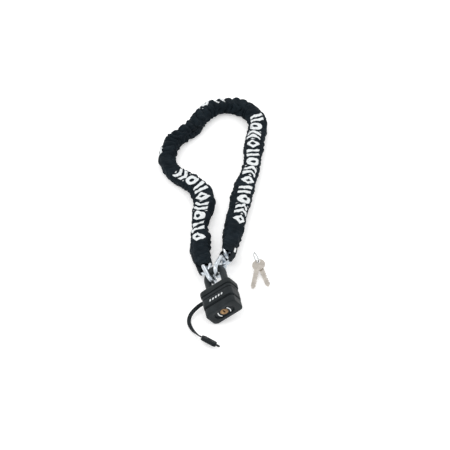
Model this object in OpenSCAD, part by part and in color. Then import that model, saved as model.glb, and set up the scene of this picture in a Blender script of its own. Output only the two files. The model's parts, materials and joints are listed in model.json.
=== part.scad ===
// Chain lock: a covered, laminated padlock closing a sleeved steel chain,
// with its keyway cap on a strap and two keys on a ring.
// The padlock lies on its back left edge and the chain lies in a loop behind it.

/* [Padlock cover] */
// Width across the cover
cover_w = 53.5; // [52:0.5:54]
// Depth of the cover, front to back
cover_d = 30; // [29.5:0.5:32]
// Height of the cover's top face above the bottom plate
cover_top = 43; // [43:0.5:44]
// Corner radius of the cover
cover_r = 7; // [6:0.5:9]
// Thickness of the cover's floor
cover_floor = 2.8; // [2.2:0.1:3]

/* [Steel body] */
// Width of the stacked plates
body_w = 44; // [43:0.5:45]
// Depth of the stacked plates
body_d = 22; // [21.5:0.5:23]
// Thickness of one plate
plate_t = 3.2; // [3.1:0.02:3.22]

/* [Shackle] */
// Diameter of the shackle's steel bar
shackle_dia = 8; // [8:0.1:8.2]
// Distance between the two legs
leg_span = 29; // [28.8:0.1:29.2]
// Thickness of the black coating on the bar
guard_t = 1.3; // [1:0.1:1.4]
// Height of the arch's centre above the bottom plate
arch_z = 67.5; // [67:0.5:72]

/* [Chain] */
// Diameter of the bar that a link is made from
link_bar = 6.5; // [6:0.1:6.6]
// Inside length of a link
link_inner_l = 31; // [30.6:0.1:31.4]
// Inside width of a link
link_inner_w = 13; // [12.8:0.1:13.4]

/* [Sleeve] */
// Half of the sleeve's width
sleeve_hw = 15.5; // [15:0.5:17]
// Half of the sleeve's height
sleeve_hh = 11.6; // [11.4:0.1:11.8]
// Thickness of the woven nylon
sleeve_t = 1; // [0.8:0.1:1.2]

/* [Keys] */
// Thickness of a key
key_t = 2.2; // [1.8:0.1:2.4]
// Length of the blade beyond the bow
key_blade_l = 33; // [30:0.5:36]
// Mean radius of the split ring
ring_r = 8.5; // [8:0.1:9]

/* [Hidden] */
$fn = 48;
eps = 0.01;
plate_pitch = 3.25;
plate_count = 12;
body_top = plate_pitch * plate_count;
leg_x = leg_span / 2;
bar_r = shackle_dia / 2;
hole_r = bar_r + 0.08;
guard_r = bar_r + guard_t;
rim_z = 33;
toe_end = 26.3;
neck_top = 26;
button_top = 5.5;
lever_z = 29.45;
lever_t = 2.8;
plug_r = 5;
plug_top = 22.3;
pin_zs = [4.5, 8, 11.5, 15, 18.5];
pin_r = 1.25;
crank_r = 2;
crank_pin_r = 0.7;
recess_half = 8;
recess_r = 8.5;

// where the padlock lies: turned in plan, rolled onto its back left edge
lock_turn = 11.4;
lock_roll = 35;
lock_pos = [19.2, -221.5, 25.6];

// the chain's route: one heading for each link, from the right end of the loop round to the left
link_pitch = 27.6;
headings = [70, 80, 80, 80, 80, 80, 79, 75, 76, 85, 85, 80, 84, 110, 142, 170,
            204, 233, 244, 226, 235, 255, 275, 303, 322, 310, 285, 263, 264, 274, 268, 283];
falls = [-8.4, -6.6, -2.4];
last_rise = 3;
link_count = len(headings);

function unit(v) = v / norm(v);
function lockDir(v) = let(
    roll = [v[0] * cos(lock_roll) - v[2] * sin(lock_roll), v[1], v[0] * sin(lock_roll) + v[2] * cos(lock_roll)])
    [roll[0] * cos(lock_turn) - roll[1] * sin(lock_turn), roll[0] * sin(lock_turn) + roll[1] * cos(lock_turn), roll[2]];
// a point given in the padlock's own frame, x across, y to its back, z up the shackle
function lockPoint(p) = lock_pos + lockDir([p[0], p[2], -p[1]]);
function archPoint(a) = lockPoint([leg_x * cos(a), 0, arch_z + leg_x * sin(a)]);
function archTangent(a) = lockDir([-sin(a), cos(a), 0]);

// each end link hangs on the arch at an angle round it, and leans away from it
right_dir = unit([0.31, 0.92, -0.25]);
left_dir = unit([-0.33, 0.94, -0.12]);
right_end = archPoint(50) + 6 * right_dir;
left_end = archPoint(125) - 0.5 * left_dir;
right_side = unit(cross(archTangent(50), right_dir));
left_side = unit(cross(archTangent(125), left_dir));

function fall(i) = i < len(falls) ? falls[i] : i == link_count - 1 ? last_rise : 0;
function stepAlong(i) = let(run = sqrt(link_pitch * link_pitch - fall(i) * fall(i)))
    [run * cos(headings[i]), run * sin(headings[i]), fall(i)];
// the centres of all links: the right end link, the links of the list, and the left end link
centres = concat(
    [for (i = 0, p = right_end; i <= link_count; p = p + (i < link_count ? stepAlong(i) : [0, 0, 0]), i = i + 1) p],
    [left_end]);
last = len(centres) - 1;
function linkDir(i) = i == 0 ? right_dir : i == last ? -left_dir : unit(centres[i + 1] - centres[i - 1]);
first_rolls = [0, 25, -58, 38, -48];
function linkRoll(i) = i < len(first_rolls) ? first_rolls[i] : i % 2 == 0 ? -45 : 45;
function sideOf(d) = unit(cross(d, [0, 0, 1]));
function linkSide(i) = i == 0 ? right_side : i == last ? left_side :
    let(d = linkDir(i), s = sideOf(d)) s * cos(linkRoll(i)) + cross(s, d) * sin(linkRoll(i));

link_names = [for (i = [1:link_count]) str("chain_link_", i < 10 ? "0" : "", i)];

module inLock() {
  translate(lock_pos) rotate([0, 0, lock_turn]) rotate([0, -lock_roll, 0]) rotate([-90, 0, 0]) children();
}

// a rectangle with round corners
module roundRect(w, d, r) {
  square([w - 2 * r, d], center = true);
  square([w, d - 2 * r], center = true);
  for (x = [-1, 1], y = [-1, 1]) translate([x * (w / 2 - r), y * (d / 2 - r)]) circle(r);
}

module slab(w, d, h, r) {
  linear_extrude(h) roundRect(w, d, r);
}

module stadium(half, r) {
  square([2 * half, 2 * r], center = true);
  for (x = [-1, 1]) translate([x * half, 0]) circle(r);
}

// a wire coil with flat-sided wire, as one closed mesh
module coil(r, wire, pitch, turns, steps = 14, sides = 6) {
  n = turns * steps;
  pts = [for (i = [0:n], k = [0:sides - 1]) let(a = 360 * i / steps, b = 360 * k / sides, q = r + wire * cos(b))
      [q * cos(a), q * sin(a), pitch * i / steps + wire * sin(b)]];
  faces = concat(
      [for (i = [0:n - 1], k = [0:sides - 1]) let(j = (k + 1) % sides)
          [i * sides + k, (i + 1) * sides + k, (i + 1) * sides + j, i * sides + j]],
      [[for (k = [0:sides - 1]) k]],
      [[for (k = [0:sides - 1]) n * sides + sides - 1 - k]]);
  polyhedron(pts, faces, convexity = 6);
}

// ---- cover ----
module coverCavity(h) {
  slab(body_w + 0.4, body_d + 0.4, h, 6.2);
}

module cover_shell() {
  color("#23282b") inLock() difference() {
    union() {
      translate([0, 0, -cover_floor]) slab(cover_w - 1, cover_d - 1, cover_floor + 9, cover_r);
      translate([0, 0, 9]) slab(cover_w - 2.4, cover_d - 2.4, 17, cover_r - 1);
      translate([0, 0, 10.2]) slab(cover_w - 0.6, cover_d - 0.6, 0.9, cover_r);
      translate([0, 0, 12.3]) slab(cover_w, cover_d, 13.5, cover_r);
      translate([0, 0, 25.8]) slab(cover_w - 2.4, cover_d - 2.4, 1.4, cover_r - 1);
      translate([0, 0, 27.1]) slab(cover_w - 0.8, cover_d - 0.8, 5.1, cover_r);
    }
    coverCavity(40);
    translate([0, 0, -4]) linear_extrude(5) stadium(recess_half, recess_r);
  }
}

module cover_rim() {
  color("#262b2e") inLock() difference() {
    union() {
      translate([0, 0, 32.25]) slab(cover_w - 3.2, cover_d - 3.2, 1.4, cover_r - 1.4);
      translate([0, 0, rim_z + 0.6]) slab(cover_w + 1, cover_d + 1, cover_top - rim_z - 0.6, cover_r);
    }
    translate([0, 0, 30]) coverCavity(body_top - 30 + 0.1);
    for (x = [-leg_x, leg_x]) translate([x, 0, 30]) cylinder(r = guard_r + 0.1, h = 20);
  }
}

// ---- laminated steel body ----
module plate(i) {
  translate([0, 0, i * plate_pitch]) slab(body_w, body_d, plate_t, 6);
}

module rivetHoles() {
  for (x = [-1, 1], y = [-1, 1]) translate([x * 18.3, y * 7.3, -1]) cylinder(r = 1.55, h = body_top + 2);
}

module housingCut() {
  translate([0, 0, -1]) cylinder(r = 7.1, h = plug_top + 2);
  translate([-3.1, 0, 2]) cube([6.2, 10.45, plug_top - 0.7]);
}

module legHoles() {
  translate([-leg_x, 0, 1.2]) cylinder(r = hole_r, h = body_top);
  translate([leg_x, 0, toe_end - 0.3]) cylinder(r = hole_r, h = body_top);
}

module bottom_plates() {
  color("#8d9296") inLock() difference() {
    for (i = [0:1]) plate(i);
    rivetHoles();
    legHoles();
    housingCut();
    for (x = [-1, 1], y = [-1, 1]) translate([x * 18.3, y * 7.3, -1]) cylinder(r = 2.6, h = 2.1);
  }
}

module core_plates() {
  color("#84898d") inLock() difference() {
    for (i = [2:9]) plate(i);
    rivetHoles();
    legHoles();
    housingCut();
    translate([0, 0, 20]) cylinder(r = 4.5, h = 12);
    translate([-leg_x, -3.8, lever_z - 0.2]) cube([2 * leg_x, 7.6, 4]);
    translate([-leg_x + 3.9, -12, 24.4]) rotate([-90, 0, 0]) cylinder(r = 1.35, h = 24);
  }
}

module top_plates() {
  color("#8d9296") inLock() difference() {
    for (i = [10:11]) plate(i);
    rivetHoles();
    legHoles();
    for (x = [-1, 1], y = [-1, 1]) translate([x * 18.3, y * 7.3, body_top - 1.05]) cylinder(r = 2.6, h = 2);
  }
}

module body_rivets() {
  color("#9aa0a4") inLock() for (x = [-1, 1], y = [-1, 1]) translate([x * 18.3, y * 7.3, 0.05]) {
    cylinder(r = 1.5, h = body_top - 0.15);
    cylinder(r = 2.5, h = 0.95);
    translate([0, 0, body_top - 1.05]) cylinder(r = 2.5, h = 0.9);
  }
}

// ---- shackle ----
module archBar(r, from_z) {
  translate([0, 0, arch_z]) rotate([90, 0, 0]) rotate_extrude(angle = 180) translate([leg_x, 0]) circle(r);
  for (x = [-leg_x, leg_x]) translate([x, 0, from_z]) cylinder(r = r, h = arch_z - from_z + eps);
}

module shackle() {
  color("#9ea4a8") inLock() difference() {
    union() {
      archBar(bar_r, toe_end);
      translate([-leg_x, 0, button_top - 1]) cylinder(r = 2.4, h = neck_top - button_top + 2);
      translate([-leg_x, 0, 1.6]) cylinder(r = bar_r - 0.05, h = button_top - 1.6);
    }
    for (s = [-1, 1]) translate([s * (leg_x - bar_r + 1.35), 0, lever_z + lever_t / 2])
      cube([2.8, 9, lever_t + 0.7], center = true);
  }
}

module shackle_guard() {
  color("#1d2225") inLock() difference() {
    archBar(guard_r, cover_top - 3.5);
    archBar(bar_r + 0.02, cover_top - 5);
  }
}

module shackle_keeper() {
  color("#7c8287") inLock() translate([-leg_x + 3.9, -10.8, 24.4]) rotate([-90, 0, 0]) cylinder(r = 1.3, h = 21.6);
}

// ---- locking levers, worked by two pins on the cam ----
module lever() {
  difference() {
    union() {
      translate([6.5, -3.5, 0]) cube([leg_x - bar_r - 0.3 - 6.5, 7, lever_t]);
      translate([-4, 0.2, 0]) cube([10.6, 3.2, lever_t]);
    }
    translate([-crank_r * cos(45) - 0.85, 0.66, -1]) cube([1.7, 2.1, 5]);
  }
}

module lever_right() {
  color("#c9a54e") inLock() translate([0, 0, lever_z]) lever();
}

module lever_left() {
  color("#c9a54e") inLock() translate([0, 0, lever_z]) rotate([0, 0, 180]) lever();
}

module lever_springs() {
  color("#b9bec2") inLock() for (s = [0, 180]) rotate([0, 0, s])
    translate([-6.25, 1.9, lever_z + lever_t / 2]) rotate([0, 90, 0]) coil(0.9, 0.17, 0.9, 2);
}

// ---- pin-tumbler cylinder ----
module plug() {
  color("#c79a4b") inLock() difference() {
    union() {
      translate([0, 0, -1.2]) cylinder(r = plug_r, h = plug_top + 1.2);
      translate([-0.8, -2.6, plug_top - eps]) cube([1.6, 5.2, 1.7]);
    }
    translate([-1, -4, -2]) cube([2, 6.2, 23.4]);
    for (z = pin_zs) translate([0, 0, z]) rotate([-90, 0, 0]) cylinder(r = pin_r + 0.06, h = 6);
  }
}

module plug_cam() {
  color("#b8bcc0") inLock() difference() {
    union() {
      translate([0, 0, plug_top + 0.1]) cylinder(r = 4.2, h = 6.8);
      for (a = [135, 315]) translate([crank_r * cos(a), crank_r * sin(a), 29])
        cylinder(r = crank_pin_r, h = 3.1);
    }
    translate([-0.85, -2.65, plug_top]) cube([1.7, 5.3, 1.75]);
  }
}

module cylinder_housing() {
  color("#b98d42") inLock() difference() {
    union() {
      translate([0, 0, 0.1]) cylinder(r = 7, h = plug_top - 0.1);
      translate([-3, 0, 2.2]) cube([6, 10.35, plug_top - 2.2]);
    }
    translate([0, 0, -1]) cylinder(r = plug_r + 0.05, h = plug_top + 2);
    for (z = pin_zs) translate([0, 0, z]) rotate([-90, 0, 0]) cylinder(r = pin_r + 0.06, h = 9.6);
  }
}

module key_pins() {
  color("#d8b15a") inLock() for (i = [0:len(pin_zs) - 1]) let(low = 1 + 0.35 * (i % 3))
    translate([0, low, pin_zs[i]]) rotate([-90, 0, 0]) cylinder(r = pin_r, h = plug_r - 0.12 - low);
}

module driver_pins() {
  color("#c8ccd0") inLock() for (z = pin_zs) translate([0, plug_r + 0.12, z])
    rotate([-90, 0, 0]) cylinder(r = pin_r, h = 2);
}

module pin_springs() {
  color("#b9bec2") inLock() for (z = pin_zs) translate([0, 7.4, z]) rotate([-90, 0, 0]) coil(0.85, 0.17, 0.95, 2);
}

module face_ring() {
  color("#c3c9ce") inLock() difference() {
    translate([0, 0, -1.6]) cylinder(r = 8.2, h = 1.5);
    translate([0, 0, -2]) cylinder(r = plug_r + 0.07, h = 3);
    for (s = [-1, 1]) translate([s * 8.4, 0, -2]) cylinder(r = 1.6, h = 3);
  }
}

// ---- keyway cap on its strap ----
strap_start = lockPoint([-cover_w / 2 - 0.9, -6, 29.6]);
cap_start = [-14, -256, 8.5];
strap_route = concat([strap_start, strap_start + [-6, -2, -3.5]],
    [[-26, -207, 9], [-31, -214, 6.5], [-33, -222.5, 4.5], [-31, -232, 3.6],
     [-26, -241.5, 4], [-20, -249.5, 6], cap_start]);
strap_lean = [55, 45, 30, 20, 10, 10, 30, 50, 65];
strap_w = 6;
strap_t = 1.6;
cap_turn = -34;
cap_lean = 42;

// a flat strip along a route, its width leaning from level to upright
module strip(route, lean, w, t) {
  n = len(route) - 1;
  pts = [for (i = [0:n]) let(d = unit(route[min(n, i + 1)] - route[max(0, i - 1)]), s = sideOf(d), u = cross(s, d),
          a = s * cos(lean[i]) + u * sin(lean[i]), b = cross(a, d)) each
      [route[i] + a * w / 2 + b * t / 2, route[i] - a * w / 2 + b * t / 2,
       route[i] - a * w / 2 - b * t / 2, route[i] + a * w / 2 - b * t / 2]];
  faces = concat([for (i = [0:n - 1], k = [0:3]) let(j = (k + 1) % 4, a = i * 4, b = a + 4)
          each [[a + k, a + j, b + j], [a + k, b + j, b + k]]],
      [[3, 2, 1], [3, 1, 0]], [[n * 4, n * 4 + 1, n * 4 + 2], [n * 4, n * 4 + 2, n * 4 + 3]]);
  polyhedron(pts, faces, convexity = 6);
}

module cap_strap() {
  color("#20262a") strip(strap_route, strap_lean, strap_w, strap_t);
}

module keyway_cap() {
  color("#1f2528") translate(cap_start) rotate([0, 0, cap_turn]) rotate([-cap_lean, 0, 0])
    translate([13.2, 0, 0]) {
      translate([0, 0, -3.4]) linear_extrude(2.2) stadium(7.5, 5.2);
      translate([0, 0, -1.4]) linear_extrude(2.4) stadium(7, 4.2);
      translate([0, 0, 0.8]) linear_extrude(2.2) stadium(7.5, 5.2);
      translate([11, -2.5, -1.2]) cube([7.5, 5, 2.4]);
    }
}

// ---- chain ----
// a link lies along x, and is as wide as it is along y
module linkShape() {
  half = (link_inner_l - link_inner_w) / 2;
  rr = (link_inner_w + link_bar) / 2;
  for (s = [0, 180]) rotate([0, 0, s]) {
    translate([half, 0, 0]) rotate([0, 0, -90]) rotate_extrude(angle = 180) translate([rr, 0]) circle(link_bar / 2);
    translate([-half, rr, 0]) rotate([0, 90, 0]) cylinder(r = link_bar / 2, h = 2 * half);
  }
}

module placed(origin, d, s) {
  n = cross(d, s);
  multmatrix([[d[0], s[0], n[0], origin[0]], [d[1], s[1], n[1], origin[1]], [d[2], s[2], n[2], origin[2]]])
    children();
}

module chainLink(i) {
  color("#aab2b8") placed(centres[i], linkDir(i), linkSide(i)) linkShape();
}

module end_link_right() {
  chainLink(0);
}

module end_link_left() {
  chainLink(last);
}

// ---- woven sleeve round the chain ----
sleeve_path = concat([right_end + 16 * right_dir], [for (i = [1:last - 1]) centres[i]], [left_end + 19 * left_dir]);
function curvePoint(p, i, t) = let(n = len(p) - 1, a = p[max(0, i - 1)], b = p[i], c = p[min(n, i + 1)],
    d = p[min(n, i + 2)]) 0.5 * (2 * b + (c - a) * t + (2 * a - 5 * b + 4 * c - d) * t * t
    + (3 * b - a - 3 * c + d) * t * t * t);
sleeve_rings = [for (i = [0:len(sleeve_path) - 2], t = [0, 0.5]) curvePoint(sleeve_path, i, t),
    sleeve_path[len(sleeve_path) - 1]];

function sectionAt(hw, hh) = [[hw, -0.4 * hh], [hw, 0.4 * hh], [0.72 * hw, hh - 0.3], [0.26 * hw, hh],
    [-0.26 * hw, hh], [-0.72 * hw, hh - 0.3], [-hw, 0.4 * hh], [-hw, -0.4 * hh],
    [-0.72 * hw, 0.3 - hh], [-0.26 * hw, -hh], [0.26 * hw, -hh], [0.72 * hw, 0.3 - hh]];

module sleeve() {
  n = len(sleeve_rings) - 1;
  out = sectionAt(sleeve_hw, sleeve_hh);
  inn = sectionAt(sleeve_hw - sleeve_t, sleeve_hh - sleeve_t);
  m = len(out);
  function ringPoints(sec) = [for (i = [0:n]) let(d = unit(sleeve_rings[min(n, i + 1)] - sleeve_rings[max(0, i - 1)]),
      s = sideOf(d), u = cross(s, d)) for (q = sec) sleeve_rings[i] + s * q[0] + u * q[1]];
  pts = concat(ringPoints(out), ringPoints(inn));
  o = (n + 1) * m;
  faces = concat(
      [for (i = [0:n - 1], k = [0:m - 1]) let(j = (k + 1) % m)
          [i * m + k, i * m + j, (i + 1) * m + j, (i + 1) * m + k]],
      [for (i = [0:n - 1], k = [0:m - 1]) let(j = (k + 1) % m)
          [o + i * m + k, o + (i + 1) * m + k, o + (i + 1) * m + j, o + i * m + j]],
      [for (k = [0:m - 1]) let(j = (k + 1) % m) [k, o + k, o + j, j]],
      [for (k = [0:m - 1]) let(j = (k + 1) % m) [n * m + k, n * m + j, o + n * m + j, o + n * m + k]]);
  color("#1c2327") polyhedron(pts, faces, convexity = 10);
}

// sewn ends: a flap outside each end of the sleeve, and a small white label on the right one
tab_right = right_end + 15 * right_dir + 16 * sideOf(right_dir);
tab_left = left_end + 17 * left_dir - 14.5 * sideOf(left_dir);
module sleeve_tabs() {
  color("#1c2327") {
    placed(tab_left, left_dir, sideOf(left_dir)) cube([20, 1.4, 7], center = true);
    placed(tab_right, right_dir, sideOf(right_dir)) cube([18, 1.4, 7], center = true);
  }
  color("#e8eaea") placed(tab_right + [0, 0, 4.2], right_dir, sideOf(right_dir))
    cube([11, 2.6, 1.2], center = true);
}

// ---- keys on a split ring ----
key_hole = [72.5, -110, 9.7];
key_tilt = 9;
ring_turn = 27;
bow_r = 8.8;
hole_r_key = 3.6;
// the ring holds one key near the top of its hole, and the other near the bottom
key_slack = 2.2;

module inKeys() {
  translate(key_hole) rotate([key_tilt, 0, 0]) children();
}

// the key hangs from its hole, with its blade along -y
module keyOutline() {
  difference() {
    union() {
      translate([0, -5.6]) circle(bow_r);
      translate([-4, -5.6 - bow_r - key_blade_l + 4]) square([7.2, key_blade_l]);
      translate([0, -5.6 - bow_r - key_blade_l]) polygon([[-2.2, 0], [0.8, 0], [3.2, 4], [3.2, 6], [-4, 6], [-4, 4]]);
    }
    circle(hole_r_key);
    for (i = [0:4]) translate([3.2, -5.6 - bow_r - 9 - 4.2 * i]) rotate([0, 0, 45])
      square((1.1 + 0.5 * (i % 3)) * 1.4142, center = true);
  }
}

// the blade has a milled groove on each face, and the bow a shallow panel round its edge
module keyShape() {
  difference() {
    linear_extrude(key_t) keyOutline();
    for (z = [-1, key_t - 0.4]) {
      translate([-1.9, -5.6 - bow_r - key_blade_l + 5, z]) cube([1.5, key_blade_l - 1, 1.4]);
      translate([0, -5.6, z]) linear_extrude(1.4) difference() {
        circle(bow_r - 1.2);
        circle(bow_r - 2.2);
        translate([-20, -1]) square([40, 40]);
        translate([-4.6, -20]) square([8.4, 40]);
      }
    }
  }
}

module key_1() {
  color("#b3a698") inKeys() rotate([0, 0, -11]) translate([0, -key_slack, 0.25]) keyShape();
}

module key_2() {
  color("#a99d90") inKeys() rotate([0, 0, 19]) translate([0, key_slack, -key_t - 0.25]) keyShape();
}

module key_ring() {
  color("#a7a199") inKeys() rotate([0, 0, ring_turn]) translate([0, ring_r, 0.3]) rotate([0, 90, 0]) {
    translate([0, 0, -0.57]) rotate_extrude() translate([ring_r, 0]) circle(0.55);
    translate([0, 0, 0.57]) rotate_extrude() translate([ring_r, 0]) circle(0.55);
  }
}

cover_shell();
cover_rim();
top_plates();
core_plates();
bottom_plates();
body_rivets();
shackle();
shackle_guard();
shackle_keeper();
lever_left();
lever_right();
lever_springs();
plug();
plug_cam();
cylinder_housing();
key_pins();
driver_pins();
pin_springs();
face_ring();
cap_strap();
keyway_cap();
sleeve();
sleeve_tabs();
end_link_right();
end_link_left();
key_ring();
key_1();
key_2();
for (i = [1:link_count]) {
  chainLink(i);
}
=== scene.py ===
import json
import math

import bmesh
import bpy
import numpy as np
from mathutils import Matrix, Vector, noise


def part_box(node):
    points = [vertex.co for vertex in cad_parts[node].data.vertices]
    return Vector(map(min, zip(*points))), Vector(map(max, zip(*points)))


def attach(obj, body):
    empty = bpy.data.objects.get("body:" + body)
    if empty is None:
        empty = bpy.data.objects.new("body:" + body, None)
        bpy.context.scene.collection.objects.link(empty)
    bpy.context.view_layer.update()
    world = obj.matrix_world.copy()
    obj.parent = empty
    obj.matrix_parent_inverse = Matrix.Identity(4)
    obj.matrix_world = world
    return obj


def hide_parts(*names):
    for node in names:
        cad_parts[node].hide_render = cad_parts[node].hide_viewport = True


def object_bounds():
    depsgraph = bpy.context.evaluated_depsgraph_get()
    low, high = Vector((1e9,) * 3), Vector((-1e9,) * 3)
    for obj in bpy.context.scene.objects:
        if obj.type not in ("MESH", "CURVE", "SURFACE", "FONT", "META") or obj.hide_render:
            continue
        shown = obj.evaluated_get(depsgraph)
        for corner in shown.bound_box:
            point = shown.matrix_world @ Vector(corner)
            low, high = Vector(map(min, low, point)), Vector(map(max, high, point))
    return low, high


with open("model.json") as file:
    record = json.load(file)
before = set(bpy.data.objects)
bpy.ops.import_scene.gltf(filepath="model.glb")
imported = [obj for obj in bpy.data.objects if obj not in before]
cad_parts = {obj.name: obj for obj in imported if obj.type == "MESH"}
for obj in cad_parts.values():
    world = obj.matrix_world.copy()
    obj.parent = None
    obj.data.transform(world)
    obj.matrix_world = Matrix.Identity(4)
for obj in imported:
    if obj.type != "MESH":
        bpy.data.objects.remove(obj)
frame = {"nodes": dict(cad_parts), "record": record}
cadBox = [list(corner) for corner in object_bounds()]
mm = 0.001

# camera
print("camera")
view = {"target": (0.0204, -0.0213, 0.0), "tiltDown": 46, "distance": 1.8, "lens": 89.6}

cameraData = bpy.data.cameras.new("camera")
cameraData.lens = view["lens"]
cameraData.sensor_width = 36
camera = bpy.data.objects.new("camera", cameraData)
tilt = math.radians(view["tiltDown"])
camera.location = Vector(view["target"]) + view["distance"] * Vector((0, -math.cos(tilt), math.sin(tilt)))
camera.rotation_euler = (math.radians(90) - tilt, 0, 0)
bpy.context.collection.objects.link(camera)
bpy.context.scene.camera = camera


# where the parts are
def middle(nodeName):
    low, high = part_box(nodeName)
    return (Vector(low) + Vector(high)) / 2


jointAxis = {j["name"]: Vector(j["axis"]).normalized() for j in frame["record"]["behaviour"]["joints"]}
acrossLock = jointAxis["lever_right_slide"]      # across the cover, to the right
alongLock = jointAxis["shackle_lift"]            # up the shackle
intoLock = alongLock.cross(acrossLock)           # from the front face to the back
rivetMiddle = 19.475                             # height of the rivets' middle above the keyway face, in mm
lockOrigin = middle("body_rivets") - alongLock * rivetMiddle * mm


def lockPoint(x, y, z):
    return lockOrigin + (acrossLock * x + intoLock * y + alongLock * z) * mm


# mesh helpers
def addPiece(name, mesh, materials=(), angle=35):
    for m in materials:
        mesh.materials.append(m)
    mesh.shade_smooth()
    mesh.set_sharp_from_angle(angle=math.radians(angle))
    piece = bpy.data.objects.new(name, mesh)
    bpy.context.collection.objects.link(piece)
    return piece


# joins rings of equal length; loop joins the last ring to the first, otherwise both ends are capped
def loftMesh(name, rings, loop=False):
    count = len(rings[0])
    points = [tuple(p) for ring in rings for p in ring]
    faces = []
    for i in range(len(rings) - (0 if loop else 1)):
        a, b = i * count, ((i + 1) % len(rings)) * count
        for k in range(count):
            n = (k + 1) % count
            faces.append((a + k, a + n, b + n, b + k))
    if not loop:
        faces.append(tuple(reversed(range(count))))
        faces.append(tuple((len(rings) - 1) * count + k for k in range(count)))
    mesh = bpy.data.meshes.new(name)
    mesh.from_pydata(points, [], faces)
    mesh.update()
    return mesh


def faceOutward(mesh):
    work = bmesh.new()
    work.from_mesh(mesh)
    bmesh.ops.recalc_face_normals(work, faces=work.faces)
    work.to_mesh(mesh)
    work.free()


# a smooth curve through the points, at share t of the way from point i to the next
def curveThrough(points, i, t):
    last = len(points) - 1
    a, b = points[max(0, i - 1)], points[i]
    c, d = points[min(last, i + 1)], points[min(last, i + 2)]
    return 0.5 * (2 * b + (c - a) * t + (2 * a - 5 * b + 4 * c - d) * t * t
                  + (3 * b - a - 3 * c + d) * t * t * t)


# reads a table of (place, value) rows, easing from row to row
def blendTable(table, x):
    if x <= table[0][0]:
        return table[0][1]
    for (x0, y0), (x1, y1) in zip(table, table[1:]):
        if x <= x1:
            t = (x - x0) / (x1 - x0)
            t = t * t * (3 - 2 * t)
            return y0 + (y1 - y0) * t
    return table[-1][1]


# material helpers
class Shader:
    # a material with a plain set of nodes round one shader
    def __init__(self, name, color, roughness, metal=0.0):
        self.material = bpy.data.materials.new(name)
        self.material.use_nodes = True
        self.tree = self.material.node_tree
        self.bsdf = self.tree.nodes["Principled BSDF"]
        self.bsdf.inputs["Base Color"].default_value = (*color, 1)
        self.bsdf.inputs["Roughness"].default_value = roughness
        self.bsdf.inputs["Metallic"].default_value = metal
        self.material.diffuse_color = (*color, 1)
        self.coordinates = self.tree.nodes.new("ShaderNodeTexCoord").outputs["Object"]

    def put(self, kind, **settings):
        made = self.tree.nodes.new(kind)
        for key, value in settings.items():
            setattr(made, key, value)
        return made

    def wire(self, value, socket):
        if isinstance(value, bpy.types.NodeSocket):
            self.tree.links.new(value, socket)
        else:
            socket.default_value = value

    def calc(self, how, *values):
        made = self.put("ShaderNodeMath", operation=how)
        for value, socket in zip(values, made.inputs):
            self.wire(value, socket)
        return made.outputs[0]

    def stretched(self, scale):
        made = self.put("ShaderNodeMapping")
        made.inputs["Scale"].default_value = scale
        self.wire(self.coordinates, made.inputs["Vector"])
        return made.outputs[0]

    def cloud(self, scale, detail=3.0, where=None, rough=0.55):
        made = self.put("ShaderNodeTexNoise")
        self.wire(where or self.coordinates, made.inputs["Vector"])
        made.inputs["Scale"].default_value = scale
        made.inputs["Detail"].default_value = detail
        made.inputs["Roughness"].default_value = rough
        return made.outputs["Fac"]

    def cells(self, scale, where=None, feature="F1"):
        made = self.put("ShaderNodeTexVoronoi", feature=feature)
        self.wire(where or self.coordinates, made.inputs["Vector"])
        made.inputs["Scale"].default_value = scale
        return made.outputs["Distance"]

    def remap(self, value, low, high, newLow, newHigh):
        made = self.put("ShaderNodeMapRange")
        keys = ("Value", "From Min", "From Max", "To Min", "To Max")
        for key, v in zip(keys, (value, low, high, newLow, newHigh)):
            self.wire(v, made.inputs[key])
        return made.outputs[0]

    def mix(self, amount, first, second):
        made = self.put("ShaderNodeMix", data_type="RGBA")
        self.wire(amount, made.inputs[0])
        for value, socket in ((first, made.inputs[6]), (second, made.inputs[7])):
            self.wire(value if isinstance(value, bpy.types.NodeSocket) else (*value, 1), socket)
        return made.outputs[2]

    def color(self, value):
        self.wire(value, self.bsdf.inputs["Base Color"])

    def rough(self, value):
        self.wire(value, self.bsdf.inputs["Roughness"])

    # several heights, each with its own depth in metres
    def bumps(self, *layers):
        normal = None
        for height, depth in layers:
            made = self.put("ShaderNodeBump")
            made.inputs["Distance"].default_value = depth
            self.wire(height, made.inputs["Height"])
            if normal is not None:
                self.wire(normal, made.inputs["Normal"])
            normal = made.outputs[0]
        self.wire(normal, self.bsdf.inputs["Normal"])

    def sheen(self, weight, roughness, tint):
        self.bsdf.inputs["Sheen Weight"].default_value = weight
        self.bsdf.inputs["Sheen Roughness"].default_value = roughness
        self.bsdf.inputs["Sheen Tint"].default_value = (*tint, 1)


# materials
print("materials")


# moulded plastic: eroded grain, faint handling marks, slightly paler where it is rubbed
def mouldedPlastic(name, dark, pale, roughness, grain):
    m = Shader(name, dark, roughness)
    patches = m.cloud(60, 4)
    m.color(m.mix(m.remap(patches, 0.35, 0.7, 0, 1), dark, pale))
    scuffs = m.cloud(1, 5, m.stretched((260, 70, 160)), 0.7)
    m.rough(m.remap(scuffs, 0.3, 0.75, roughness - 0.06, roughness + 0.12))
    m.bumps((m.cells(grain), 0.00005), (m.cloud(grain * 0.35, 2), 0.00004), (m.cloud(45, 2), 0.00012))
    m.bsdf.inputs["Specular IOR Level"].default_value = 0.16
    return m.material


def brushedMetal(name, base, worn, roughness, stretch=(900, 60, 900), depth=0.00002):
    m = Shader(name, base, roughness, 1.0)
    marks = m.cloud(1, 4, m.stretched(stretch), 0.6)
    stains = m.cloud(130, 4, None, 0.6)
    m.color(m.mix(m.remap(stains, 0.35, 0.72, 0, 1), base, worn))
    polish = m.remap(marks, 0.3, 0.7, roughness - 0.07, roughness + 0.1)
    m.rough(m.calc("ADD", polish, m.remap(stains, 0.3, 0.8, -0.03, 0.08)))
    m.bumps((marks, depth), (m.cells(420), depth * 0.8))
    return m.material


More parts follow.
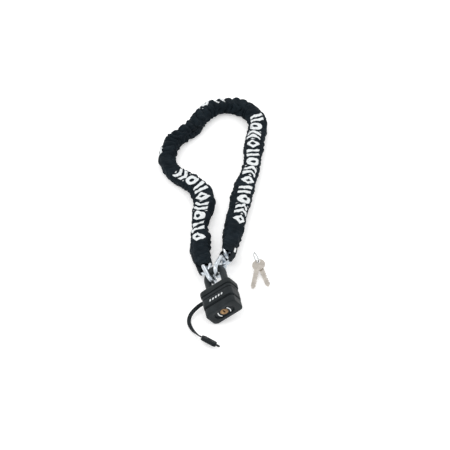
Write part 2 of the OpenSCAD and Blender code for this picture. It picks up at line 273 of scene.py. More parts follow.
# bright zinc plate over steel: blue cast, soft clouds, small pits and rub marks
def zincPlate(name):
    m = Shader(name, (0.62, 0.67, 0.71), 0.28, 1.0)
    clouds = m.cloud(95, 5, None, 0.65)
    pits = m.cells(800)
    m.color(m.mix(m.remap(clouds, 0.35, 0.7, 0, 1), (0.72, 0.76, 0.80), (0.42, 0.47, 0.52)))
    m.rough(m.calc("ADD", m.remap(clouds, 0.3, 0.75, 0.2, 0.38), m.remap(pits, 0.0, 0.4, 0.06, 0.0)))
    m.bumps((m.remap(pits, 0.0, 0.25, 0, 1), 0.00003), (m.cloud(350, 3), 0.00006))
    return m.material


def dippedVinyl(name):
    m = Shader(name, (0.012, 0.016, 0.019), 0.38)
    m.color(m.mix(m.cloud(90, 3), (0.010, 0.013, 0.016), (0.022, 0.029, 0.033)))
    m.rough(m.remap(m.cloud(200, 4), 0.3, 0.7, 0.3, 0.5))
    m.bumps((m.cloud(220, 2), 0.00018), (m.cells(1300), 0.00003))
    m.bsdf.inputs["Specular IOR Level"].default_value = 0.25
    return m.material


sleeveLook = {
    "cloth": (0.0045, 0.0075, 0.0105), "clothPale": (0.011, 0.018, 0.024),
    "print": (0.80, 0.83, 0.84), "threadPitch": 0.0009,
    "markPitch": 0.0225, "markHalf": 0.0094, "stroke": 0.0030,
    "chevronPitch": 0.0052, "chevronLean": 0.8, "ringRadius": 0.0062,
    "barSpread": 0.0053, "barLean": 0.35, "diamondReach": 0.0066,
}


# woven nylon with bold printed marks; the map's U runs along the sleeve and V round it, in metres
def wovenSleeve(name):
    look = sleeveLook
    m = Shader(name, look["cloth"], 0.72)
    laid = m.put("ShaderNodeUVMap", uv_map="clothMap").outputs[0]
    parts = m.put("ShaderNodeSeparateXYZ")
    m.wire(laid, parts.inputs[0])
    along, around = parts.outputs[0], parts.outputs[1]
    turn = 2 * math.pi / look["threadPitch"]
    warp = m.calc("SINE", m.calc("MULTIPLY", along, turn))
    weft = m.calc("SINE", m.calc("MULTIPLY", around, turn))
    weave = m.calc("MULTIPLY", warp, weft)
    threads = m.calc("MULTIPLY_ADD", weave, 0.5, 0.5)

    # the marks: a chevron, a ring, a pair of slanted bars and a diamond, taken in turn
    cell = m.calc("DIVIDE", along, look["markPitch"])
    number = m.calc("FLOOR", cell)
    x = m.calc("MULTIPLY", m.calc("SUBTRACT", m.calc("FRACT", cell), 0.5), look["markPitch"])
    upright = m.calc("ABSOLUTE", around)
    level = m.calc("ABSOLUTE", x)
    inside = m.calc("LESS_THAN", upright, look["markHalf"])
    stroke = look["stroke"]
    raised = m.calc("MULTIPLY", upright, look["chevronLean"])
    shifted = m.calc("ADD", raised, m.calc("ADD", x, look["markPitch"]))
    peak = m.calc("PINGPONG", shifted, look["chevronPitch"])
    chevron = m.calc("LESS_THAN", peak, stroke)
    radius = m.calc("SQRT", m.calc("ADD", m.calc("MULTIPLY", x, x), m.calc("MULTIPLY", around, around)))
    ring = m.calc("COMPARE", radius, look["ringRadius"], stroke)
    slant = m.calc("ABSOLUTE", m.calc("ADD", x, m.calc("MULTIPLY", around, look["barLean"])))
    bars = m.calc("COMPARE", slant, look["barSpread"], stroke)
    diamond = m.calc("COMPARE", m.calc("ADD", level, upright), look["diamondReach"], stroke * 1.05)
    kind = m.calc("FLOORED_MODULO", number, 4)
    choice = None
    for index, shape in enumerate((chevron, ring, bars, diamond)):
        picked = m.calc("MULTIPLY", m.calc("COMPARE", kind, float(index), 0.1), shape)
        choice = picked if choice is None else m.calc("MAXIMUM", choice, picked)
    there = m.put("ShaderNodeAttribute", attribute_name="printed").outputs["Fac"]
    mark = m.calc("MULTIPLY", m.calc("MULTIPLY", choice, inside), m.calc("GREATER_THAN", there, 0.5))
    # ink sits on the threads and thins where the cloth is rubbed
    wornInk = m.remap(m.cloud(420, 3), 0.32, 0.42, 0.55, 1)
    mark = m.calc("MULTIPLY", mark, wornInk)

    shade = m.mix(m.remap(m.cloud(70, 4), 0.35, 0.7, 0, 1), look["cloth"], look["clothPale"])
    # thread crowns are painted lighter and the gaps between threads darker: painted highlight and painted shade
    # on the weave
    shade = m.mix(m.calc("MULTIPLY", threads, 0.35), shade, look["clothPale"])
    inked = m.mix(m.calc("MULTIPLY", threads, 0.5), look["print"], (0.70, 0.73, 0.75))
    m.color(m.mix(mark, shade, inked))
    m.rough(m.remap(mark, 0, 1, 0.7, 0.5))
    m.bumps((threads, 0.00012), (m.cloud(240, 4), 0.0005), (m.cloud(900, 2), 0.00012))
    m.sheen(0.015, 0.4, (0.55, 0.72, 0.80))
    m.bsdf.inputs["Specular IOR Level"].default_value = 0.07
    return m.material


# webbing or label weave on a flat piece
def plainWeave(name, dark, pale, pitch):
    m = Shader(name, dark, 0.8)
    rows = m.put("ShaderNodeTexWave", wave_type="BANDS", bands_direction="DIAGONAL")
    m.wire(m.coordinates, rows.inputs["Vector"])
    rows.inputs["Scale"].default_value = 0.3 / pitch
    rows.inputs["Distortion"].default_value = 1.5
    # the raised bands are painted paler and the grooves between them darker: painted highlight and painted shade
    # on the weave
    m.color(m.mix(m.calc("MULTIPLY", rows.outputs["Fac"], 0.6), dark, pale))
    m.bumps((rows.outputs["Fac"], 0.0001), (m.cloud(500, 3), 0.0001))
    m.sheen(0.04, 0.4, pale)
    m.bsdf.inputs["Specular IOR Level"].default_value = 0.12
    return m.material


finishes = {
    "coverPlastic": mouldedPlastic("coverPlastic", (0.009, 0.0125, 0.0145), (0.017, 0.022, 0.025),
                                   0.44, 1500),
    "rimPlastic": mouldedPlastic("rimPlastic", (0.010, 0.0135, 0.015), (0.019, 0.024, 0.026), 0.48, 1300),
    "strapRubber": mouldedPlastic("strapRubber", (0.008, 0.0115, 0.0135), (0.015, 0.020, 0.023), 0.52, 1900),
    "guardVinyl": dippedVinyl("guardVinyl"),
    "zincSteel": zincPlate("zincSteel"),
    "plateSteel": brushedMetal("plateSteel", (0.50, 0.52, 0.54), (0.36, 0.38, 0.40), 0.38),
    "shackleSteel": brushedMetal("shackleSteel", (0.62, 0.64, 0.66), (0.46, 0.48, 0.50), 0.22),
    "rivetSteel": brushedMetal("rivetSteel", (0.55, 0.57, 0.59), (0.40, 0.42, 0.44), 0.34, (500, 500, 500)),
    "brass": brushedMetal("brass", (0.40, 0.25, 0.12), (0.16, 0.09, 0.05), 0.3, (700, 700, 90)),
    "leverBrass": brushedMetal("leverBrass", (0.70, 0.54, 0.26), (0.52, 0.38, 0.18), 0.36),
    "springSteel": brushedMetal("springSteel", (0.66, 0.68, 0.70), (0.50, 0.52, 0.54), 0.26,
                                (600, 600, 600)),
    "ringNickel": brushedMetal("ringNickel", (0.80, 0.82, 0.82), (0.60, 0.62, 0.63), 0.16, (500, 500, 120)),
    "keyNickel": brushedMetal("keyNickel", (0.60, 0.56, 0.51), (0.42, 0.385, 0.345), 0.3,
                              (120, 1100, 500), 0.00003),
    "sleeveCloth": wovenSleeve("sleeveCloth"),
    "flapCloth": plainWeave("flapCloth", (0.008, 0.011, 0.014), (0.02, 0.028, 0.033), 0.0008),
    "markWhite": mouldedPlastic("markWhite", (0.62, 0.65, 0.66), (0.74, 0.76, 0.77), 0.45, 1500),
    "labelCloth": plainWeave("labelCloth", (0.72, 0.74, 0.74), (0.86, 0.87, 0.87), 0.0006),
}

nodeFinish = {
    "top_plates": "plateSteel", "core_plates": "plateSteel", "bottom_plates": "plateSteel",
    "body_rivets": "rivetSteel", "shackle": "shackleSteel", "shackle_guard": "guardVinyl",
    "shackle_keeper": "rivetSteel", "lever_left": "leverBrass", "lever_right": "leverBrass",
    "lever_springs": "springSteel", "plug": "brass", "plug_cam": "plateSteel", "cylinder_housing": "brass",
    "key_pins": "leverBrass", "driver_pins": "springSteel", "pin_springs": "springSteel",
    "face_ring": "ringNickel", "key_ring": "ringNickel", "key_1": "keyNickel", "key_2": "keyNickel",
    "end_link_right": "zincSteel", "end_link_left": "zincSteel",
}
linkNames = sorted(n for n in frame["nodes"] if n.startswith("chain_link_"))
nodeFinish.update({n: "zincSteel" for n in linkNames})
for nodeName, finishName in nodeFinish.items():
    node = frame["nodes"][nodeName]
    for i in range(len(node.material_slots)):
        node.material_slots[i].material = finishes[finishName]

# padlock cover
print("padlock cover")
# heights in mm up the padlock, with how far the band stands in from the full size, and its corner radius
cover = {
    "width": 53.5, "depth": 30,
    "bands": [
        (-2.8, 3.0, 6.2), (-2.55, 1.8, 6.7), (-2.0, 1.2, 6.9), (-1.2, 1.0, 7.0),
        (8.2, 1.0, 7.0), (8.75, 1.2, 6.9), (9.0, 1.7, 6.7), (9.1, 3.9, 5.4),
        (10.1, 3.9, 5.4), (10.2, 1.0, 6.8), (10.4, 0.6, 7.0), (10.9, 0.6, 7.0),
        (11.1, 1.0, 6.8), (11.2, 3.9, 5.4), (12.2, 3.9, 5.4), (12.3, 0.8, 6.7),
        (12.6, 0.2, 6.9), (13.2, 0.0, 7.0), (24.9, 0.0, 7.0), (25.5, 0.2, 6.9),
        (25.8, 0.8, 6.7), (25.9, 3.9, 5.4), (27.0, 3.9, 5.4), (27.1, 1.4, 6.7),
        (27.4, 0.9, 6.9), (27.9, 0.8, 7.0), (31.5, 0.8, 7.0), (31.9, 1.0, 6.9), (32.2, 1.6, 6.6)],
    "rim": [
        (32.25, 4.0, 5.4), (32.3, 3.2, 5.6), (33.5, 3.2, 5.6), (33.6, 0.4, 6.4),
        (33.85, -0.6, 6.8), (34.5, -1.0, 7.0), (41.2, -1.0, 7.0), (42.1, -0.7, 6.9),
        (42.7, 0.0, 6.6), (43.0, 1.2, 6.0)],
    "cavity": (44.4, 22.4, 6.2), "recessHalf": 8, "recessRadius": 8.5, "ringHole": 8.3, "ledge": -0.5,
    "cavityTop": 32.2, "recessTop": -2.3, "faceHeight": -2.8,
    "legSpan": 14.5, "legHole": 5.4, "rimCavity": (30, 39.1),
}
cornerSteps = 10


# four rounded corners of radius r, whose centres stand reachX and reachY from the middle
def cornerPoints(reachX, reachY, r):
    points = []
    for quarter, (sx, sy) in enumerate(((1, 1), (-1, 1), (-1, -1), (1, -1))):
        for step in range(cornerSteps + 1):
            a = math.radians(90 * quarter + 90 * step / cornerSteps)
            points.append((sx * reachX + r * math.cos(a), sy * reachY + r * math.sin(a)))
    return points


def roundRectPoints(w, d, r):
    return cornerPoints(w / 2 - r, d / 2 - r, r)


# a slot with round ends; the two corner ends that meet at each end of it are set a little apart
def stadiumPoints(half, r):
    return [(x, y + 0.0001 * (i % 2)) for i, (x, y) in enumerate(cornerPoints(half, 0, r))]


def lockRing(points, z):
    return [lockPoint(x, y, z) for x, y in points]


def bandRing(z, inset, r):
    return lockRing(roundRectPoints(cover["width"] - inset, cover["depth"] - inset, r), z)


rings = [bandRing(*band) for band in cover["bands"]]
cw, cd, cr = cover["cavity"]
cavityRing = roundRectPoints(cw, cd, cr)
ringHole = stadiumPoints(0, cover["ringHole"])
half, rr = cover["recessHalf"], cover["recessRadius"]
recess = stadiumPoints(half, rr)
# the inside of the shell, a dark ledge that frames the ring, painted shade where the recess floor's bright plate
# lies in shadow, and the recess with its eased edge
rings += [lockRing(points, z) for points, z in (
    (cavityRing, cover["cavityTop"]), (cavityRing, 0.0), (ringHole, 0.0), (ringHole, cover["ledge"]),
    (recess, cover["ledge"]), (recess, cover["recessTop"]), (stadiumPoints(half, rr + 0.25), -2.65),
    (stadiumPoints(half, rr + 0.7), cover["faceHeight"]))]
shellMesh = loftMesh("coverShell", rings, loop=True)
faceOutward(shellMesh)
coverShell = addPiece("coverShell", shellMesh, [finishes["coverPlastic"]], 40)
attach(coverShell, "padlock")
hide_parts("cover_shell")


# cuts one piece from another and leaves a plain mesh
def cutAway(piece, cutters):
    for cutter in cutters:
        step = piece.modifiers.new("cut", "BOOLEAN")
        step.operation = "DIFFERENCE"
        step.solver = "EXACT"
        step.object = cutter
    ready = bpy.data.meshes.new_from_object(piece.evaluated_get(bpy.context.evaluated_depsgraph_get()))
    piece.modifiers.clear()
    piece.data = ready
    for cutter in cutters:
        bpy.data.objects.remove(cutter)
    ready.shade_smooth()
    ready.set_sharp_from_angle(angle=math.radians(35))


def circleRing(x, radius, z, count=48):
    turns = [2 * math.pi * k / count for k in range(count)]
    return [lockPoint(x + radius * math.cos(a), radius * math.sin(a), z) for a in turns]


rimMesh = loftMesh("coverRim", [bandRing(*band) for band in cover["rim"]])
faceOutward(rimMesh)
coverRim = addPiece("coverRim", rimMesh, [finishes["rimPlastic"]])
cutters = []
wide = cover["legHole"]
holeLevels = ((30, wide), (42.3, wide), (42.8, wide + 0.2), (43.4, wide + 0.9))
for x in (-cover["legSpan"], cover["legSpan"]):
    hole = loftMesh("hole", [circleRing(x, r, z) for z, r in holeLevels])
    faceOutward(hole)
    cutters.append(addPiece("hole", hole))
hollow = loftMesh("hollow", [lockRing(cavityRing, z) for z in cover["rimCavity"]])
faceOutward(hollow)
cutters.append(addPiece("hollow", hollow))
bpy.context.view_layer.update()
cutAway(coverRim, cutters)
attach(coverRim, "padlock")
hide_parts("cover_rim")

# chain sleeve
print("chain sleeve")
# tables run along the sleeve by link number, with sizes in mm
sleeve = {
    "widths": [(1.2, 18), (1.8, 20.5), (2.3, 24.5), (3, 29.5), (4, 32.5), (5, 31.5), (6.3, 33.5), (7, 32),
               (8, 30), (9, 28), (9.8, 29.5), (10.6, 33), (12, 32.5), (13.4, 31), (14.2, 29), (15, 24), (16, 22),
               (17, 24), (18, 23.5), (19, 21), (20, 21), (21, 24), (22, 24), (23, 23), (24, 26), (25, 29),
               (26.2, 34.5), (27.2, 33), (28, 30), (28.6, 25), (29.1, 19), (29.8, 29), (30.6, 32), (31.2, 29),
               (31.8, 22), (32.3, 15.5), (32.6, 12)],
    "halfHeights": [(0, 10.5), (3, 11.4), (31, 11.4), (32.2, 10.5), (32.8, 8.5)],
    "ruche": [(0, 0.5), (3, 0.35), (8, 0.45), (10, 0.3), (13, 0.25), (14.6, 1.2), (17, 1.1), (18, 1.4),
              (22, 1.4), (23.5, 0.5), (26, 0.3), (28, 0.6), (29.1, 1.0), (30.5, 0.4), (33, 0.6)],
    "printed": [(4.1, 8.35), (8.8, 13.9), (15.75, 17.35), (21.6, 22.6), (23.9, 27.8), (28.2, 30.6)],
    "printTwist": [(0, 8), (5, 6.5), (9, 2), (12, -2.5), (14, 0), (15.6, 9), (17.6, 10), (19, 16), (22.5, 17),
                   (24, 3), (26, 1), (27.5, 3.5), (33, 4)],
    "start": 1.3, "end": 32.4, "slant": 6.0, "cloth": 0.9, "ringsPerLink": 20, "aroundCount": 84,
    "flatWidth": 0.086, "puckerPitch": 0.0135, "pleatRate": 330, "slantLength": 0.03,
    "linkBar": 3.25, "linkHalf": 9.0, "linkArc": 9.75, "clearance": 0.2, "slab": 4.6,
}
centres = [middle("end_link_right")] + [middle(n) for n in linkNames] + [middle("end_link_left")]


def routePoint(number):
    i = min(int(number), len(centres) - 2)
    return curveThrough(centres, i, number - i)


# points along the middle of a link's bar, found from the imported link's own mesh
def linkLine(nodeName, count=44):
    co = np.array([v.co for v in frame["nodes"][nodeName].data.vertices])
    mid = (co.min(0) + co.max(0)) / 2
    spread = np.linalg.svd(co - mid, full_matrices=False)[2]
    straight, arc = sleeve["linkHalf"] * mm, sleeve["linkArc"] * mm
    points = []
    for k in range(count):
        a = 2 * math.pi * k / count
        x = arc * math.cos(a) + math.copysign(straight, math.cos(a))
        points.append(mid + spread[0] * x + spread[1] * arc * math.sin(a))
    for side in (-1, 1):
        for k in range(9):
            points.append(mid + spread[0] * straight * (k / 4 - 1) + spread[1] * arc * side)
    return np.array(points)


linkLines = [linkLine("end_link_right")] + [linkLine(n) for n in linkNames] + [linkLine("end_link_left")]
steps = round((sleeve["end"] - sleeve["start"]) * sleeve["ringsPerLink"])
numbers = [sleeve["start"] + (sleeve["end"] - sleeve["start"]) * i / steps for i in range(steps + 1)]
line = [routePoint(n) for n in numbers]
up = Vector((0, 0, 1))
stations = []                                     # number, point, ahead, side (outer), over (up), run (m)
run = 0.0
for i, point in enumerate(line):
    ahead = (line[min(steps, i + 1)] - line[max(0, i - 1)]).normalized()
    side = ahead.cross(up).normalized()
    run += (point - line[i - 1]).length if i else 0.0
    stations.append((numbers[i], point, ahead, side, side.cross(ahead), run))
sleeveLength = run


def bendAt(i, reach=7):
    a, b = stations[max(0, i - reach)], stations[min(steps, i + reach)]
    return a[2].cross(b[2]).z / (b[5] - a[5])     # 1/m, positive where the loop turns in on itself


# how far the cloth stands in or out at a place, in mm: puckers, small creases, pleats inside the bends
def foldHeight(run, angle, ruche, bend):
    c, s = math.cos(angle), math.sin(angle)
    wander = noise.noise(Vector((run * 55, c * 0.8 + 4.0, s * 0.8)))
    beat = run / sleeve["puckerPitch"] + 0.8 * wander + 0.3 * math.sin(angle * 2 + run * 40)
    puff = abs(math.sin(math.pi * beat)) ** 0.55
    lean = run * 70 + 1.1 * math.sin(angle + run * 25)
    pucker = abs(noise.noise(Vector((lean, c * 1.3 + 3.1, s * 1.3 + run * 9)))) ** 0.7
    crease = abs(noise.noise(Vector((run * 150 + 2.2 * s, c * 2.3 + 7.7, s * 2.3 - run * 14)))) ** 0.8
    swell = noise.noise(Vector((run * 30, c * 0.9 - 5.0, s * 0.9 + 2.0)))
    height = ruche * (4.6 * puff - 2.5) + pucker * 3.0 + crease * 1.8 - 1.7 + swell * 1.1
    inner = max(0.0, -c if bend > 0 else c) * min(1.0, abs(bend) / 14)
    if inner > 0:
        pleat = abs(math.sin(run * sleeve["pleatRate"] + 1.6 * wander))
        height += inner * (2.4 * pleat ** 0.6 - 1.6)
    return height


count = sleeve["aroundCount"]
angles = [-math.pi / 2 + 2 * math.pi * k / count for k in range(count)]
middles = np.array([st[1] for st in stations])
rays = np.zeros((steps + 1, count, 3))
reachOut = np.zeros((steps + 1, count))
folds = np.zeros((steps + 1, count))
for i, (number, point, ahead, side, over, run) in enumerate(stations):
    width = blendTable(sleeve["widths"], number)
    tall = blendTable(sleeve["halfHeights"], number)
    ruche = blendTable(sleeve["ruche"], number)
    bend = bendAt(i)
    square = 0.66 + 0.2 * min(1.0, max(0.0, (width - 24) / 10))
    calm = min(1.0, min(run, sleeveLength - run) / 0.012)
    for k, angle in enumerate(angles):
        c, s = math.cos(angle), math.sin(angle)
        x = width / 2 * math.copysign(abs(c) ** square, c)
        z = tall * math.copysign(abs(s) ** square, s)
        length = math.hypot(x, z)
        ray = side * (x / length) + over * (z / length)
        rays[i, k] = ray
        share = (0.3 + 0.7 * calm) * (1.0 if s > -0.3 else 0.35)
        reachOut[i, k] = length * mm
        folds[i, k] = foldHeight(run, angle, ruche, bend) * share * mm

# how far out the cloth has to stand to clear the bars of the links near each station
needed = np.zeros_like(reachOut)
for i, (number, *_) in enumerate(stations):
    near = [linkLines[j] for j in range(len(linkLines)) if abs(j - number) < 1.4]
    points = np.concatenate(near) - middles[i]
    ahead = np.array(stations[i][2])
    points = points[np.abs(points @ ahead) < sleeve["slab"] * mm]
    if not len(points):
        continue
    along = rays[i] @ points.T
    off = (points ** 2).sum(1)[None, :] - along ** 2
    ball = (sleeve["linkBar"] + sleeve["cloth"] + sleeve["clearance"]) * mm
    out = np.where(off < ball ** 2, along + np.sqrt(np.maximum(ball ** 2 - off, 0)), 0)
    needed[i] = np.maximum(out.max(1), 0)


# evens a grid of distances out along the sleeve and round it
def softened(grid, turns):
    for turn in range(turns):
        soft = grid.copy()
        soft[1:-1] = (grid[:-2] + 2 * grid[1:-1] + grid[2:]) / 4
        grid = (np.roll(soft, 1, 1) + 2 * soft + np.roll(soft, -1, 1)) / 4
    return grid


draped = np.maximum(needed, softened(needed, 6) + 0.0002)
reachOut = np.maximum(softened(np.maximum(reachOut, draped), 2) + folds, needed)


def clothRing(i, inset):
    ahead, run = stations[i][2], stations[i][5]
    easing = sleeve["slantLength"]
    ring = []
    for k, angle in enumerate(angles):
        p = Vector(middles[i] + rays[i, k] * (reachOut[i, k] - inset))
        if run < easing:                          # the right end is cut on a slant, longer on its outer side
            p -= ahead * sleeve["slant"] * mm * math.cos(angle) * (1 - run / easing) ** 2
        p.z = max(p.z, 0.0003 + inset)
        ring.append(p)
    return ring


cloth = sleeve["cloth"] * mm
sleeveMesh = loftMesh("chainSleeve", [clothRing(i, 0.0) for i in range(steps + 1)]
                      + [clothRing(i, cloth) for i in range(steps, -1, -1)], loop=True)
faceOutward(sleeveMesh)

# the cloth's own map, in metres, and where it is printed
runs = [st[5] for st in stations]
pitch = sleeveLook["markPitch"]
cellNumbers = [np.interp((c + 0.5) * pitch, runs, numbers) for c in range(int(sleeveLength / pitch) + 2)]
printed = sleeveMesh.attributes.new("printed", "FLOAT", "POINT")
mapU, mapV = [], []
for ringIndex in range(2 * (steps + 1)):
    outside = ringIndex <= steps
    station = stations[ringIndex if outside else 2 * steps + 1 - ringIndex]
    number, run = station[0], station[5]
    here = cellNumbers[int(run / pitch)]          # a mark is printed whole or left out
    on = 1.0 if outside and any(a <= here <= b for a, b in sleeve["printed"]) else 0.0
    twist = blendTable(sleeve["printTwist"], number) * mm
    for k in range(count):
        printed.data[ringIndex * count + k].value = on
        mapU.append(run)
        mapV.append((k / count - 0.5) * sleeve["flatWidth"] + twist)
clothMap = sleeveMesh.uv_layers.new(name="clothMap")
for poly in sleeveMesh.polygons:
    ks = [v % count for v in poly.vertices]
    wraps = max(ks) - min(ks) > count / 2
    for loopIndex, v, k in zip(poly.loop_indices, poly.vertices, ks):
        lift = sleeve["flatWidth"] if wraps and k == 0 else 0.0
        clothMap.data[loopIndex].uv = (mapU[v], mapV[v] + lift)
sleevePiece = addPiece("chainSleeve", sleeveMesh, [finishes["sleeveCloth"]], 80)
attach(sleevePiece, "chain")
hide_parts("sleeve")


# strips: the cap's strap and the sewn flaps
print("strap, cap and flaps")


# a flat strip with soft edges through given points; leans in degrees turn its width upright
def stripMesh(name, points, leans, width, thick, perSpan=8):
    rings = []
    path, tilts = [], []
    for i in range(len(points) - 1):
        for k in range(perSpan):
            t = k / perSpan
            path.append(curveThrough(points, i, t))
            tilts.append(leans[i] + (leans[i + 1] - leans[i]) * t)
    path.append(points[-1])
    tilts.append(leans[-1])
    for i, p in enumerate(path):
        ahead = (path[min(len(path) - 1, i + 1)] - path[max(0, i - 1)]).normalized()
        side = ahead.cross(up).normalized()
        over = side.cross(ahead)
        a = math.radians(tilts[i])
        wide = side * math.cos(a) + over * math.sin(a)
        flat = wide.cross(ahead)
        ring = []
        soft = thick * 0.42
        for sx, sy, turn in ((1, 1, 0), (-1, 1, 90), (-1, -1, 180), (1, -1, 270)):
            for step in range(5):
                b = math.radians(turn + 22.5 * step)
                x = sx * (width / 2 - soft) + soft * math.cos(b)
                y = sy * (thick / 2 - soft) + soft * math.sin(b)
                ring.append(p + (wide * x + flat * y) * mm)
        rings.append(ring)
    mesh = loftMesh(name, rings)
    faceOutward(mesh)
    return mesh


strap = {
    "route": [(-26, -207, 9), (-31, -214, 6.5), (-33, -222.5, 4.5), (-31, -232, 3.6), (-26, -241.5, 4),
              (-20, -249.5, 6), (-14, -256, 8.5), (-12.5, -257, 8.6)],
    "leans": [55, 55, 45, 30, 20, 10, 10, 30, 50, 48, 48], "width": 6, "thick": 1.6,
    "root": (-6, 29.6), "rootGap": 0.9, "rootSunk": 0.6, "firstStep": (-6, -2, -3.5),
}
coverSide = -cover["width"] / 2
rootPoint = lockPoint(coverSide - strap["rootGap"], *strap["root"])
strapPoints = [lockPoint(coverSide + strap["rootSunk"], *strap["root"]), rootPoint,
               rootPoint + Vector(strap["firstStep"]) * mm] + [Vector(p) * mm for p in strap["route"]]
strapMesh = stripMesh("capStrap", strapPoints, strap["leans"], strap["width"], strap["thick"])
capStrap = addPiece("capStrap", strapMesh, [finishes["strapRubber"]], 60)
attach(capStrap, "cap")
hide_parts("cap_strap")

cap = {
    "start": (-14, -256, 8.5), "turn": -34, "lean": 42, "along": 13.2,
    # height, half length and end radius
    "levels": [(-2.9, 6.2, 3.1), (-3.0, 6.4, 3.4), (-3.4, 6.8, 4.3), (-3.4, 7.5, 4.7), (-3.15, 7.5, 5.05),
               (-2.8, 7.5, 5.2), (-1.7, 7.5, 5.2), (-1.35, 7.5, 5.05), (-1.25, 7.1, 4.4), (-1.1, 7.0, 4.2),
               (0.7, 7.0, 4.2), (0.85, 7.1, 4.4), (0.95, 7.5, 5.05), (1.3, 7.5, 5.2), (2.4, 7.5, 5.2),
               (2.75, 7.5, 5.05), (3.0, 7.5, 4.7), (3.0, 6.8, 4.3), (2.7, 6.4, 3.6), (2.6, 6.2, 3.3)],
    # distance along the cap, width and thickness
    "tab": [(10.6, 4.6, 2.0), (11.4, 5.0, 2.4), (17.6, 5.0, 2.4), (18.3, 4.6, 2.1), (18.6, 3.8, 1.4)],
    # height and how much narrower
    "boss": [(2.4, 0), (3.0, 0), (3.3, 0.5)],
}
capPlace = (Matrix.Translation(Vector(cap["start"]) * mm) @ Matrix.Rotation(math.radians(cap["turn"]), 4, "Z")
            @ Matrix.Rotation(math.radians(-cap["lean"]), 4, "X")
            @ Matrix.Translation((cap["along"] * mm, 0, 0)))


def capRing(points, z):
    return [capPlace @ (Vector((x, y, z)) * mm) for x, y in points]


capBody = loftMesh("keywayCap", [capRing(stadiumPoints(h, r), z) for z, h, r in cap["levels"]])
faceOutward(capBody)
keywayCap = addPiece("keywayCap", capBody, [finishes["strapRubber"]], 50)
tabRings = []
for x, w, t in cap["tab"]:
    section = roundRectPoints(w, t, min(1.0, t * 0.4))
    tabRings.append([capPlace @ (Vector((x, a, b)) * mm) for a, b in section])
tabMesh = loftMesh("capTab", tabRings)
faceOutward(tabMesh)
capTab = addPiece("capTab", tabMesh, [finishes["strapRubber"]], 50)
bossMesh = loftMesh("capBoss", [capRing(roundRectPoints(4.2 - q, 3.2 - q, 0.8), z) for z, q in cap["boss"]])
faceOutward(bossMesh)
capBoss = addPiece("capBoss", bossMesh, [finishes["strapRubber"]], 50)
for piece in (keywayCap, capTab, capBoss):
    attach(piece, "cap")
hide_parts("keyway_cap")

# sewn flaps outside the sleeve's two ends, and the small woven label
flaps = {
    # place by link number, then mm outward from the middle of the loop and mm up
    "right": [(1.9, 10.5, 7.0), (1.45, 11.2, 8.0), (1.1, 11.0, 8.5), (0.75, 10.6, 8.5), (0.5, 10.0, 8.0)],
    "left": [(31.9, 12.5, 2.0), (32.25, 12.6, 2.5), (32.5, 13.0, 2.6), (32.75, 12.8, 2.6), (32.9, 12.4, 2.6)],
    "label": [(1.6, 11.6, 9.5), (1.2, 11.6, 10.1)],
    "width": 7, "leftWidth": 5.5, "thick": 1.3, "labelWidth": 3.0, "labelThick": 0.8,
}


def besideRoute(number, outward, height):
    ahead = (routePoint(number + 0.1) - routePoint(number - 0.1)).normalized()
    side = ahead.cross(up).normalized()
    return routePoint(number) + side * outward * mm + side.cross(ahead) * height * mm


def flapPiece(name, table, lean, width, thick, finish):
    points = [besideRoute(*row) for row in table]
    mesh = stripMesh(name, points, [lean] * len(points), width, thick)
    piece = addPiece(name, mesh, [finishes[finish]], 60)
    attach(piece, "chain")
    return piece


flapRight = flapPiece("flapRight", flaps["right"], 35, flaps["width"], flaps["thick"], "flapCloth")
flapPiece("flapLeft", flaps["left"], 72, flaps["leftWidth"], flaps["thick"], "flapCloth")
flapPiece("labelWhite", flaps["label"], 35, flaps["labelWidth"], flaps["labelThick"], "labelCloth")
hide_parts("sleeve_tabs")

# keyway bush, a dark ring of painted shade, bright clips where the highlights fall, and the cover's plain mark
print("keyway ring and cover mark")
# radii and heights in mm, and the clips' half angle
keyway = {
    "bush": (5.07, 6.0, -1.1, -0.1), "ring": (6.05, 8.2, -0.9, -0.1), "clip": (8.7, 10.3, -1.9, -0.52),
    "clipHalf": 36, "edge": 0.15,
}


# a ring or part of one round the keyway, from its inner and outer radius and its two heights
def arcPiece(name, size, finish, middleAngle=0, half=180, steps=72):
    inner, outer, low, high = size
    soft = keyway["edge"]
    section = [(inner + soft, low), (outer - soft, low), (outer, low + soft), (outer, high), (inner, high),
               (inner, low + soft)]
    closed = half == 180
    rings = []
    for i in range(steps + (0 if closed else 1)):
        a = math.radians(middleAngle - half + 2 * half * i / steps)
        rings.append([lockPoint(r * math.cos(a), r * math.sin(a), z) for r, z in section])
    mesh = loftMesh(name, rings, loop=closed)
    faceOutward(mesh)
    return addPiece(name, mesh, [finishes[finish]], 30)


bush = arcPiece("keywayBush", keyway["bush"], "brass")
# the dark ring is painted shade: it stands where the bright face ring lies in shadow, and the nickel clips keep
# bright metal only at the recess ends, where the highlights fall
paintedShadeRing = arcPiece("keywayPaintedShadeRing", keyway["ring"], "coverPlastic")
clips = [arcPiece("keywayClip" + sideName, keyway["clip"], "ringNickel", a, keyway["clipHalf"], 36)
         for sideName, a in (("Right", 0), ("Left", 180))]
for piece in [bush, paintedShadeRing] + clips:
    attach(piece, "padlock")
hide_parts("face_ring")

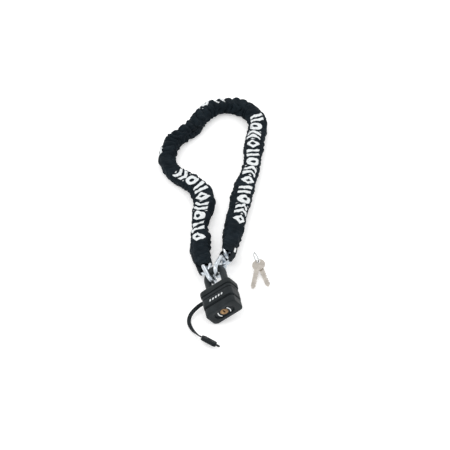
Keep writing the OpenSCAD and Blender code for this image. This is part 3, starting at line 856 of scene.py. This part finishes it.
# a row of short slanted bars stands on the front band
mark = {
    "bars": 5, "pitch": 5.2, "barWidth": 2.6, "barHeight": 3.2, "slant": 1.4, "proud": 0.25, "sunk": 0.2,
    "edge": 0.08, "corner": 0.5, "middleZ": 19,
}
front = -cover["depth"] / 2
for b in range(mark["bars"]):
    x0 = (b - (mark["bars"] - 1) / 2) * mark["pitch"]
    face = front - mark["proud"]
    rings = []
    for y, q in ((front + mark["sunk"], 0.0), (face + mark["edge"], 0.0), (face, 0.12)):
        outline = roundRectPoints(mark["barWidth"] - q, mark["barHeight"] - q, mark["corner"])
        rings.append([lockPoint(x0 + x + mark["slant"] * z / 4, y, mark["middleZ"] + z) for x, z in outline])
    barMesh = loftMesh("markBar", rings)
    faceOutward(barMesh)
    bar = addPiece("markBar%d" % (b + 1), barMesh, [finishes["markWhite"]], 40)
    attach(bar, "padlock")

# floor and light
print("floor and light")
studio = {
    "floor": (0.93, 0.93, 0.93), "floorHalf": 4, "floorDrop": 0.0002, "lift": 0.3, "world": 0.95,
    # place, size and power of each light
    "lights": {
        "keyLight": ((-0.9, -0.5, 1.6), 1.0, 7),
        "fillLight": ((1.2, -0.9, 1.2), 1.2, 3),
        "backLight": ((0.2, 1.3, 1.1), 0.9, 3),
    },
}

floorMesh = bpy.data.meshes.new("floor")
h = studio["floorHalf"]
floorMesh.from_pydata([(-h, -h, 0), (h, -h, 0), (h, h, 0), (-h, h, 0)], [], [(0, 1, 2, 3)])
paper = Shader("floorPaper", studio["floor"], 0.9)
paper.color(paper.mix(paper.cloud(3, 2), (0.92, 0.92, 0.92), studio["floor"]))
paper.bsdf.inputs["Emission Color"].default_value = (1, 1, 1, 1)
paper.bsdf.inputs["Emission Strength"].default_value = studio["lift"]
floor = addPiece("floor", floorMesh, [paper.material])
floor.location.z = cadBox[0][2] - studio["floorDrop"]

world = bpy.data.worlds.new("world")
bpy.context.scene.world = world
world.use_nodes = True
world.node_tree.nodes["Background"].inputs[0].default_value = (1, 1, 1, 1)
world.node_tree.nodes["Background"].inputs[1].default_value = studio["world"]

for name, (place, size, power) in studio["lights"].items():
    data = bpy.data.lights.new(name, "AREA")
    data.shape = "SQUARE"
    data.size = size
    data.energy = power
    lamp = bpy.data.objects.new(name, data)
    lamp.location = place
    lamp.rotation_euler = (-Vector(place)).to_track_quat("-Z", "Y").to_euler()
    bpy.context.collection.objects.link(lamp)

bpy.context.scene.view_settings.view_transform = "Standard"
